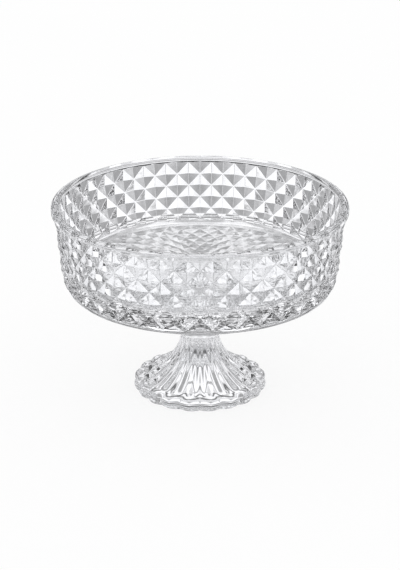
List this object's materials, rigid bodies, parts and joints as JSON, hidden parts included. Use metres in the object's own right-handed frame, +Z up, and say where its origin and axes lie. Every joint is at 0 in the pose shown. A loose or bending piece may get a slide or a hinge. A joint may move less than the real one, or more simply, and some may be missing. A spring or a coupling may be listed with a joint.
{
  "type": "footed trifle bowl",
  "caption": "Clear pressed-glass trifle bowl with a diamond-cut wall and underside, bonded by a smooth stem to a fluted, scalloped pedestal foot.",
  "frame": {"origin": "middle of the foot's resting ring, on the table", "axes": "+Z is up along the bowl's axis of turning, -Y is the front shown in the picture, +X is to the right of that view"},
  "size_m": [0.23, 0.23, 0.155],
  "materials": {
    "pressed_glass": "fire-polished clear pressed glass",
    "clear_bond": "clear cured adhesive film"
  },
  "bodies": {
    "root": {"bowl": "pressed_glass", "bond_film": "clear_bond", "pedestal_foot": "pressed_glass"}
  },
  "joints": []
}
